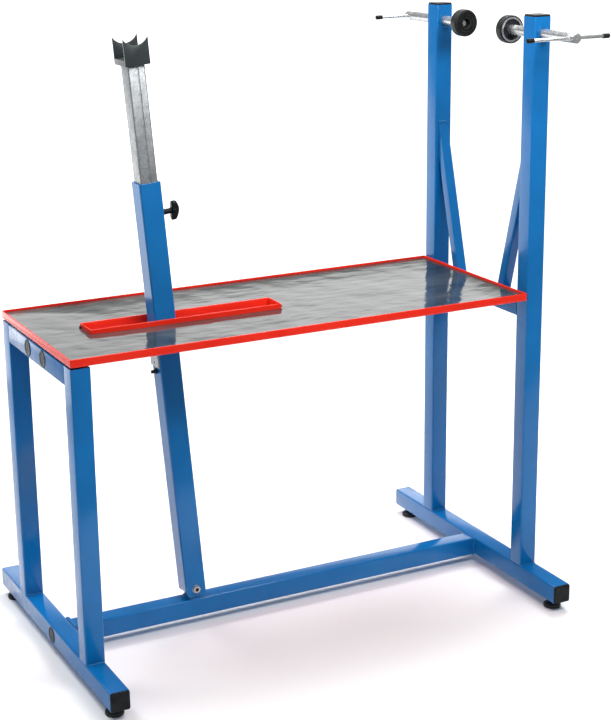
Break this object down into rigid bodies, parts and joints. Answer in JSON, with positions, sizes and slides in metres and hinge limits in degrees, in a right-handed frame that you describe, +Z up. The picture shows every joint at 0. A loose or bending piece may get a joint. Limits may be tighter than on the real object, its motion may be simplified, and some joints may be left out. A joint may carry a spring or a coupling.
{
  "type": "bike repair stand",
  "caption": "Bench-height bicycle repair stand: blue steel frame, red-rimmed tray with a slot for a leaning telescopic post with a cradle, and facing screw clamps on tall uprights.",
  "frame": {"origin": "on the floor, under the middle of the stand's bounding box", "axes": "+X from the post end towards the uprights, +Y towards the rear, +Z up"},
  "size_m": [1.4194, 0.844, 1.566],
  "materials": {
    "blue_powdercoat": "gloss powder coat",
    "red_powdercoat": "gloss powder coat",
    "tray_mat": "glossy dark grey mat",
    "plywood": "plain board core, hidden",
    "galvanised_steel": "galvanised",
    "zinc_plate": "bright zinc plate",
    "black_plastic": "semi-gloss moulded",
    "black_steel": "black oxide",
    "dark_coat": "satin charcoal coating",
    "pad_rubber": "moulded rubber",
    "brass_tip": "turned brass, hidden"
  },
  "bodies": {
    "frame": {"left_foot_beam": "blue_powdercoat", "right_foot_beam": "blue_powdercoat", "left_front_leg": "blue_powdercoat", "left_rear_leg": "blue_powdercoat", "leg_caps": "black_plastic", "left_cross_tube": "blue_powdercoat", "right_cross_tube": "blue_powdercoat", "front_upright": "blue_powdercoat", "rear_upright": "blue_powdercoat", "front_brace": "blue_powdercoat", "rear_brace": "blue_powdercoat", "long_beam": "blue_powdercoat", "beam_flange": "blue_powdercoat", "beam_bolt": "zinc_plate", "rails": "blue_powdercoat", "rail_plates": "blue_powdercoat", "rail_bolts": "zinc_plate", "access_plugs": "black_plastic", "foot_beam_caps": "black_plastic", "upright_caps": "black_plastic", "foot_nuts": "zinc_plate", "tray": "red_powdercoat", "tray_core": "plywood", "tray_liner": "tray_mat", "slot_collar": "red_powdercoat", "collar_screws": "black_steel", "pivot_block": "blue_powdercoat", "spindle_bushes": "zinc_plate"},
    "post": {"post_tube": "blue_powdercoat", "pivot_bolt": "zinc_plate", "pivot_nut": "zinc_plate", "knob_boss": "zinc_plate", "adjuster_nut": "black_steel", "guide_plate": "galvanised_steel"},
    "mast": {"mast_tube": "galvanised_steel", "mast_top_plate": "galvanised_steel", "saddle": "dark_coat"},
    "knob_tip": {"knob_tip": "brass_tip"},
    "knob": {"wing_knob": "black_plastic"},
    "adjuster_tip": {"adjuster_tip": "brass_tip"},
    "adjuster": {"adjuster_screw": "black_steel"},
    "front_clamp": {"front_pad": "pad_rubber", "front_cup": "zinc_plate"},
    "front_screw": {"front_spindle": "zinc_plate", "front_pad_screw": "zinc_plate"},
    "front_tommy_bar": {"front_bar": "zinc_plate"},
    "rear_clamp": {"rear_pad": "pad_rubber", "rear_cup": "zinc_plate"},
    "rear_screw": {"rear_spindle": "zinc_plate", "rear_pad_screw": "zinc_plate"},
    "rear_tommy_bar": {"rear_bar": "zinc_plate"},
    "foot_fl": {"foot_pad_fl": "black_plastic"},
    "stud_fl": {"foot_stud_fl": "black_steel"},
    "foot_fr": {"foot_pad_fr": "black_plastic"},
    "stud_fr": {"foot_stud_fr": "black_steel"},
    "foot_rl": {"foot_pad_rl": "black_plastic"},
    "stud_rl": {"foot_stud_rl": "black_steel"},
    "foot_rr": {"foot_pad_rr": "black_plastic"},
    "stud_rr": {"foot_stud_rr": "black_steel"}
  },
  "joints": [
    {"name": "post_tilt", "type": "hinge", "parent": "frame", "child": "post", "pos_m": [-0.31625, 0, 0.105], "axis": [0, 1, 0], "range_deg": [-11.5, 20.5]},
    {"name": "mast_slide", "type": "slide", "parent": "post", "child": "mast", "axis": [-0.0785, 0, 0.9969], "range_m": [-0.26, 0.2]},
    {"name": "knob_travel", "type": "slide", "parent": "post", "child": "knob_tip", "axis": [0.9969, 0, 0.0785], "range_m": [0, 0.004]},
    {"name": "knob_turn", "type": "hinge", "parent": "knob_tip", "child": "knob", "pos_m": [-0.35562, 0, 1.11502], "axis": [0.9969, 0, 0.0785], "range_deg": [0, 960]},
    {"name": "adjuster_travel", "type": "slide", "parent": "post", "child": "adjuster_tip", "axis": [-0.9969, 0, -0.0785], "range_m": [0, 0.004]},
    {"name": "adjuster_turn", "type": "hinge", "parent": "adjuster_tip", "child": "adjuster", "pos_m": [-0.39394, 0, 0.70977], "axis": [-0.9969, 0, -0.0785], "range_deg": [0, 1152]},
    {"name": "front_clamp_slide", "type": "slide", "parent": "frame", "child": "front_clamp", "axis": [0, 1, 0], "range_m": [-0.07, 0.09]},
    {"name": "front_screw_turn", "type": "hinge", "parent": "front_clamp", "child": "front_screw", "pos_m": [0.57875, -0.389, 1.519], "axis": [0, 1, 0], "range_deg": [-2520, 3240]},
    {"name": "front_bar_slide", "type": "slide", "parent": "front_screw", "child": "front_tommy_bar", "axis": [1, 0, 0], "range_m": [-0.07, 0.1]},
    {"name": "rear_clamp_slide", "type": "slide", "parent": "frame", "child": "rear_clamp", "axis": [0, -1, 0], "range_m": [-0.07, 0.09]},
    {"name": "rear_screw_turn", "type": "hinge", "parent": "rear_clamp", "child": "rear_screw", "pos_m": [0.57875, 0.389, 1.519], "axis": [0, -1, 0], "range_deg": [-2520, 3240]},
    {"name": "rear_bar_slide", "type": "slide", "parent": "rear_screw", "child": "rear_tommy_bar", "axis": [1, 0, 0], "range_m": [-0.093, 0.077]},
    {"name": "foot_fl_travel", "type": "slide", "parent": "frame", "child": "foot_fl", "axis": [0, 0, -1], "range_m": [0, 0.012]},
    {"name": "stud_fl_turn", "type": "hinge", "parent": "foot_fl", "child": "stud_fl", "pos_m": [-0.68325, -0.377, 0.03], "axis": [0, 0, -1], "range_deg": [-2880, 0]},
    {"name": "foot_fr_travel", "type": "slide", "parent": "frame", "child": "foot_fr", "axis": [0, 0, -1], "range_m": [0, 0.012]},
    {"name": "stud_fr_turn", "type": "hinge", "parent": "foot_fr", "child": "stud_fr", "pos_m": [0.57875, -0.377, 0.03], "axis": [0, 0, -1], "range_deg": [-2880, 0]},
    {"name": "foot_rl_travel", "type": "slide", "parent": "frame", "child": "foot_rl", "axis": [0, 0, -1], "range_m": [0, 0.012]},
    {"name": "stud_rl_turn", "type": "hinge", "parent": "foot_rl", "child": "stud_rl", "pos_m": [-0.68325, 0.377, 0.03], "axis": [0, 0, -1], "range_deg": [-2880, 0]},
    {"name": "foot_rr_travel", "type": "slide", "parent": "frame", "child": "foot_rr", "axis": [0, 0, -1], "range_m": [0, 0.012]},
    {"name": "stud_rr_turn", "type": "hinge", "parent": "foot_rr", "child": "stud_rr", "pos_m": [0.57875, 0.377, 0.03], "axis": [0, 0, -1], "range_deg": [-2880, 0]}
  ],
  "couplings": [
    {"joint": "knob_turn", "follows": "knob_travel", "rad_per_m": 4188.8},
    {"joint": "adjuster_turn", "follows": "adjuster_travel", "rad_per_m": 5026.5},
    {"joint": "front_screw_turn", "follows": "front_clamp_slide", "rad_per_m": 628.32},
    {"joint": "rear_screw_turn", "follows": "rear_clamp_slide", "rad_per_m": 628.32},
    {"joint": "stud_fl_turn", "follows": "foot_fl_travel", "rad_per_m": -4188.8},
    {"joint": "stud_fr_turn", "follows": "foot_fr_travel", "rad_per_m": -4188.8},
    {"joint": "stud_rl_turn", "follows": "foot_rl_travel", "rad_per_m": -4188.8},
    {"joint": "stud_rr_turn", "follows": "foot_rr_travel", "rad_per_m": -4188.8}
  ]
}
